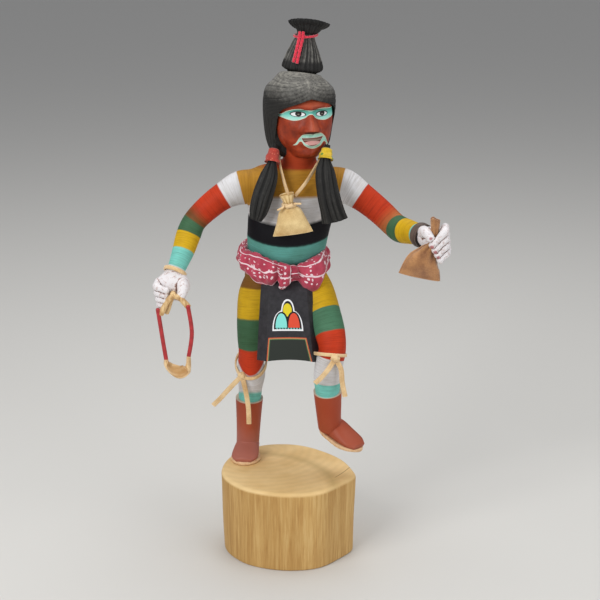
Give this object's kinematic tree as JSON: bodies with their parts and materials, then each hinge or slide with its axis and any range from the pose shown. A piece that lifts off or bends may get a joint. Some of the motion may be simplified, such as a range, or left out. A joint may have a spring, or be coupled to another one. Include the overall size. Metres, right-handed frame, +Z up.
{
  "type": "kachina doll",
  "caption": "Carved and painted wooden dancer with one leg raised, on a slice of root wood, holding a slingshot and a small bag.",
  "frame": {"origin": "centre of the base's flat underside", "axes": "+Z up along the figure, which faces -Y; its right arm reaches towards -X"},
  "size_m": [0.1915, 0.0963, 0.3627],
  "materials": {
    "base_wood": "sanded, matt",
    "painted_wood": "brushed acrylic paint on carved wood, matt",
    "hair_wood": "black paint dry-brushed grey",
    "red_yarn": "spun yarn",
    "red_cloth": "printed cotton strip",
    "yellow_cloth": "printed cotton strip",
    "buff_leather": "undyed, matt",
    "suede": "rough suede",
    "dark_leather": "wrapped, matt",
    "bandana_cotton": "printed cotton",
    "black_leather": "painted, matt",
    "pale_wood": "peeled twig",
    "red_rubber": "smooth"
  },
  "bodies": {
    "root": {"base": "base_wood", "figure": "painted_wood", "topknot": "hair_wood", "topknot_tie": "red_yarn", "hair_hank_right": "hair_wood", "hank_wrap_right": "red_cloth", "hair_hank_left": "hair_wood", "hank_wrap_left": "yellow_cloth", "neck_pouch": "buff_leather", "neck_lace": "buff_leather", "pouch_tie": "buff_leather", "waist_sash": "bandana_cotton", "breechcloth_front": "black_leather", "breechcloth_back": "black_leather", "slingshot_fork": "pale_wood", "sling_band_right": "red_rubber", "sling_band_left": "red_rubber", "sling_pocket": "buff_leather", "hand_bag": "suede", "wrist_lace": "buff_leather", "wrist_strap": "dark_leather", "knee_tie_right": "buff_leather", "knee_tie_left": "buff_leather"}
  },
  "joints": []
}
